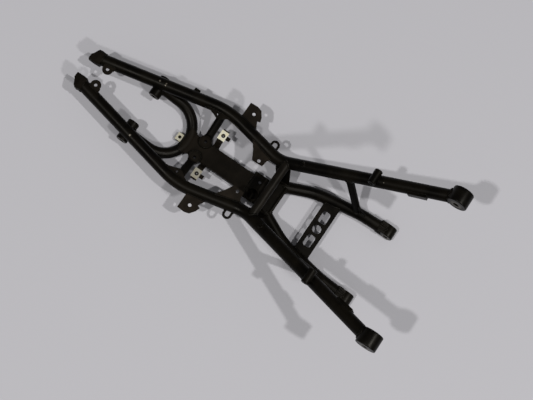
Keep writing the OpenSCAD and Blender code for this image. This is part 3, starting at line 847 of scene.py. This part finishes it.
@dataclass
class Weldment:
    """A sub-assembly of CAD nodes with the beads that hold it."""

    name: str
    joints: tuple[Joint, ...]
    finishes: dict[str, str]
    slot: str = TUBE_SLOT
    finder: SeamFinder = field(default_factory=SeamFinder)
    bead: WeldBead = field(default_factory=WeldBead)

    def build(self) -> bpy.types.Object | None:
        """Finds the seams of all joints and joins their beads into one piece."""
        joined = bmesh.new()
        count = 0
        for joint in self.joints:
            for chain in self.finder.chains(joint.cut, joint.onto):
                mesh = self.bead.sweep(chain, joint.radius)
                if mesh is None:
                    continue
                joined.from_mesh(mesh)
                bpy.data.meshes.remove(mesh)
                count += 1
        if not count:
            joined.free()
            log.warning("%s: no seam found", self.name)
            return None
        mesh = bpy.data.meshes.new(self.name)
        joined.to_mesh(mesh)
        joined.free()
        piece = link_piece(self.name, mesh)
        log.info("%s: %d beads, %d faces", self.name, count, len(mesh.polygons))
        return piece

    def dress(self, piece: bpy.types.Object | None, finish: bpy.types.Material, materials: dict[str, bpy.types.Material]) -> None:
        """Gives the beads and the CAD nodes of this sub-assembly their finishes.

        Args:
            piece: the beads.
            finish: material of the beads.
            materials: materials by finish name.
        """
        if piece is not None:
            piece.data.materials.append(finish)
        for node, wanted in self.finishes.items():
            dress_node(node, materials[wanted])


def dress_node(node: str, material: bpy.types.Material) -> None:
    """Assigns a material to every slot of a CAD node.

    Args:
        node: name of the CAD node.
        material: its finish.
    """
    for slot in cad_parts[node].material_slots:
        slot.link = "OBJECT"
        slot.material = material


def both(joints: list[tuple[str, str, float]]) -> tuple[Joint, ...]:
    """Repeats joints between left and right nodes for both sides.

    Args:
        joints: cut node, node it sits on and half width in millimetres, where a leading
            star stands for the side.

    Returns:
        The joints of both sides.
    """
    made = []
    for cut, onto, radius in joints:
        for side in Sides:
            made.append(Joint(cut.replace("*", side.value + "_"), onto.replace("*", side.value + "_"), mm(radius)))
    return tuple(made)


def sided(names: list[str], finish: str) -> dict[str, str]:
    """Returns a finish for the left and right node of each name."""
    return {side.node(name): finish for name in names for side in Sides}


# The photograph's view, floor and light


@dataclass
class Studio:
    """Camera, floor and three soft lamps."""

    eye: tuple[float, float, float] = (0.09966, -0.41059, 1.95213)
    target: tuple[float, float, float] = (0.0667, -0.0037, 0.0)
    upward: tuple[float, float, float] = (-0.56549, 0.80573, 0.17740)
    lens: float = 67.84
    sensor: float = 36.0
    floor_colour: tuple[float, float, float] = (0.50, 0.49, 0.51)
    lamps: tuple[tuple[tuple[float, float, float], float, float], ...] = (
        ((-0.25, -0.465, 1.0), 0.26, 222.0),
        ((0.46, 0.08, 1.0), 0.26, 214.0),
        ((0.79, -0.336, 1.0), 0.50, 165.0),
    )
    lamp_distance: float = 8.0

    def camera(self) -> None:
        """Places the camera."""
        data = bpy.data.cameras.new("studio_camera")
        data.lens = self.lens
        data.sensor_width = self.sensor
        data.sensor_fit = "HORIZONTAL"
        data.clip_end = 50.0
        view = bpy.data.objects.new("studio_camera", data)
        back = (Vector(self.eye) - Vector(self.target)).normalized()
        up = Vector(self.upward)
        up = (up - back * up.dot(back)).normalized()
        right = up.cross(back)
        turn = Matrix((right, up, back)).transposed().to_4x4()
        view.matrix_world = Matrix.Translation(self.eye) @ turn
        bpy.context.scene.collection.objects.link(view)
        bpy.context.scene.camera = view

    def floor(self) -> None:
        """Lays a plain pale floor."""
        sheet = bmesh.new()
        bmesh.ops.create_grid(sheet, x_segments=2, y_segments=2, size=12.0)
        mesh = bpy.data.meshes.new("floor")
        sheet.to_mesh(mesh)
        sheet.free()
        floor = bpy.data.objects.new("floor", mesh)
        bpy.context.scene.collection.objects.link(floor)
        material = bpy.data.materials.new("pale_floor")
        material.use_nodes = True
        shader = material.node_tree.nodes["Principled BSDF"]
        shader.inputs["Base Color"].default_value = (*self.floor_colour, 1.0)
        shader.inputs["Roughness"].default_value = 0.9
        shader.inputs["Specular IOR Level"].default_value = 0.1
        mesh.materials.append(material)

    def lights(self) -> None:
        """Hangs the lamps and sets a low even world."""
        for number, (direction, size, power) in enumerate(self.lamps):
            data = bpy.data.lights.new(f"lamp_{number}", "AREA")
            data.shape = "DISK"
            data.size = size
            data.energy = power
            lamp = bpy.data.objects.new(f"lamp_{number}", data)
            away = Vector(direction).normalized()
            lamp.location = away * self.lamp_distance
            lamp.rotation_euler = away.to_track_quat("Z", "Y").to_euler()
            bpy.context.scene.collection.objects.link(lamp)
        world = bpy.data.worlds.new("soft_world")
        world.use_nodes = True
        sky = world.node_tree.nodes["Background"]
        sky.inputs["Color"].default_value = (0.96, 0.97, 1.0, 1.0)
        sky.inputs["Strength"].default_value = 0.18
        bpy.context.scene.world = world
        bpy.context.scene.view_settings.view_transform = "Standard"

    def build(self) -> None:
        """Sets up the whole view."""
        self.camera()
        self.floor()
        self.lights()
        log.info("view, floor and %d lamps are set", len(self.lamps))


def weldments() -> list[Weldment]:
    """Returns the sub-assemblies from the tail to the front."""
    return [
        Weldment(
            "tail_welds",
            both([
                ("*upper_rail", "*tail_lug", 2.0), ("*rear_tab", "*upper_rail", 1.6),
                ("*tail_bush", "*upper_rail", 2.2),
            ]) + (Joint("cable_tab", "left_upper_rail", mm(1.5)),),
            sided(["tail_lug", "rear_tab"], "pressed") | sided(["tail_bush"], "tail_coat") | {"cable_tab": "tube"},
        ),
        Weldment(
            "hoop_welds",
            (
                Joint("hoop_tube", "left_upper_rail", mm(2.3)), Joint("hoop_tube", "right_upper_rail", mm(2.3)),
                Joint("hoop_tube", "left_tail_bush", mm(2.2)), Joint("hoop_tube", "right_tail_bush", mm(2.2)),
                Joint("hoop_clip_tab", "hoop_tube", mm(1.6)), Joint("centre_plate", "hoop_tube", mm(1.8)),
            ),
            {"hoop_tube": "tube", "hoop_clip_tab": "pressed", "centre_plate": "pressed"},
        ),
        Weldment(
            "boss_welds",
            both([
                ("*round_boss", "centre_plate", 1.6), ("*link_tube", "*upper_rail", 2.2),
                ("*link_tube", "*round_boss", 2.0), ("*corner_web", "*upper_rail", 1.6),
                ("*corner_web", "*link_tube", 1.5), ("*clip_strap", "centre_plate", 1.4),
            ]),
            sided(["round_boss", "corner_web", "clip_strap"], "pressed") | sided(["link_tube"], "tube"),
        ),
        Weldment(
            "bracket_welds",
            both([
                ("*side_tab", "*upper_rail", 1.8), ("*ring_eye", "*upper_rail", 1.6),
                ("*inner_tab", "*upper_rail", 1.7),
            ]),
            sided(["side_tab", "inner_tab"], "tab") | sided(["ring_eye"], "tube"),
        ),
        Weldment(
            "bridge_welds",
            both([
                ("front_cross_tube", "*upper_rail", 2.3), ("*root_gusset", "*upper_rail", 2.1),
                ("*root_gusset", "front_bridge", 1.8), ("*root_gusset", "*lower_strut", 2.0),
                ("*lower_strut", "front_bridge", 2.2),
            ]) + (Joint("centre_plate", "bridge_shelf", mm(1.6)), Joint("bridge_shelf", "front_bridge", mm(1.8))),
            sided(["root_gusset"], "tube") | {
                "front_cross_tube": "cross", "front_bridge": "pressed_black", "bridge_shelf": "pressed_black",
            },
        ),
        Weldment(
            "strut_welds",
            both([
                ("*lower_strut", "*lower_barrel", 2.3), ("perforated_plate", "*lower_strut", 1.8),
                ("*brace", "*lower_strut", 2.1), ("*brace_web", "*lower_strut", 1.6),
                ("*brace_web", "*brace", 1.6),
            ]),
            sided(["lower_strut", "brace_web"], "tube") | sided(["brace"], "brace") | sided(["lower_barrel"], "barrel")
            | {"perforated_plate": "pressed_black"},
        ),
        Weldment(
            "arm_welds",
            both([
                ("*brace", "*upper_rail", 2.1), ("*arm_boss", "*upper_rail", 1.5),
                ("*arm_bush", "*upper_rail", 2.1), ("*arm_pad", "*upper_rail", 1.7),
                ("*upper_rail", "*upper_barrel", 3.6),
            ]),
            sided(["upper_rail", "arm_boss", "arm_bush", "arm_pad"], "tube") | sided(["upper_barrel"], "barrel"),
        ),
    ]


# Places and sizes of the chips on top of the rails, the left arm and its small boss
TUBE_CHIPS = (
    ((-0.2338, 0.0584, 0.0649), mm(1.9)),
    ((-0.2202, 0.0608, 0.0652), mm(1.5)),
    ((-0.2198, 0.0565, 0.0645), mm(1.3)),
    ((-0.2183, -0.0632, 0.0651), mm(2.0)),
    ((0.2286, 0.1108, 0.1750), mm(1.1)),
    ((0.0871, 0.0747, 0.1050), mm(1.6)),
)

# Width in millimetres of the broken edges of the flat and turned nodes
EDGES = {
    1.9: sided(["upper_barrel"], ""),
    0.7: [*sided(["tail_lug", "lower_barrel"], ""), "bridge_shelf"],
    0.45: [
        *sided(["side_tab", "inner_tab", "corner_web", "rear_tab", "clip_strap", "arm_pad"], ""),
        "centre_plate", "front_bridge", "perforated_plate", "hoop_clip_tab",
    ],
    0.15: ["left_clip_nut", "right_clip_nut", "hoop_clip_nut"],
}


def main() -> None:
    """Builds the scene in order."""
    logging.basicConfig(level=logging.INFO, format="%(name)s: %(message)s")
    shared = SharedEffects.build()
    materials = {
        "tube": PowderCoat("tube_coat", chips=TUBE_CHIPS).material(shared),
        "tail_coat": PowderCoat(
            "tail_coat", wear=Wear.RUBBED, washers=(((-0.231, 0.0, 0.0353), mm(9)),)
        ).material(shared),
        "pressed": PowderCoat(
            "pressed_coat", cool=(0.0036, 0.0029, 0.0021), warm=(0.0078, 0.0059, 0.0039), roughness=0.46, specular=0.05, dust=0.10
        ).material(shared),
        "tab": PowderCoat(
            "tab_coat", cool=(0.0060, 0.0044, 0.0030), warm=(0.0130, 0.0092, 0.0060), roughness=0.44, dust=0.12
        ).material(shared),
        "brace": PowderCoat("brace_coat", roughness=0.5, specular=0.02).material(shared),
        "cross": PowderCoat(
            "cross_coat", cool=(0.0030, 0.0024, 0.0017), warm=(0.0100, 0.0078, 0.0050), roughness=0.46, specular=0.12
        ).material(shared),
        "pressed_black": PowderCoat("bridge_coat", roughness=0.40, dust=0.16).material(shared),
        "barrel": PowderCoat(
            "barrel_coat", roughness=0.38, specular=0.11, wear=Wear.RUBBED, chips=(((0.2829, 0.0811, 0.0254), mm(0.9)),),
            washers=(((0.354, 0.0, 0.228), mm(12)), ((0.302, 0.0, 0.0135), mm(9))),
        ).material(shared),
        "bead": PowderCoat("bead_coat", roughness=0.36, wear=Wear.CLEAN, dust=0.2, peel=0.6).material(shared),
        "zinc": ZincPlate().material(shared),
        # The right nut's zinc is darker and rougher than the left nut's.
        "zinc_darker": ZincPlate(
            "zinc_darker", pale=(0.33, 0.31, 0.25), golden=(0.26, 0.23, 0.15), roughness=0.42
        ).material(shared),
        "zinc_small": ZincPlate(
            "zinc_small", pale=(0.60, 0.57, 0.45), golden=(0.48, 0.42, 0.26), roughness=0.38
        ).material(shared),
        # The thread's near-black zinc is painted shade: it darkens each nut's bore.
        "thread": ZincPlate(
            "thread_painted_shade", pale=(0.05, 0.045, 0.03), golden=(0.03, 0.024, 0.014), roughness=0.5
        ).material(shared),
    }
    Studio().build()
    for weldment in weldments():
        weldment.dress(weldment.build(), materials["bead"], materials)
    for width, nodes in EDGES.items():
        for node in nodes:
            EdgeBreak(mm(width), 4 if width > 1 else 2).apply(node)
    nuts = (("left_clip_nut", 1.0, "zinc"), ("right_clip_nut", 1.0, "zinc_darker"), ("hoop_clip_nut", 0.8, "zinc_small"))
    # Each nut gets a dark thread and black rims of painted shade in its bore.
    for node, share, plating in nuts:
        dress_node(node, materials[plating])
        ClipThread(node, share).build().data.materials.append(materials["thread"])
        NutHoleShade(node, share).build().data.materials.append(materials["tube"])


if __name__ == "__main__":
    main()
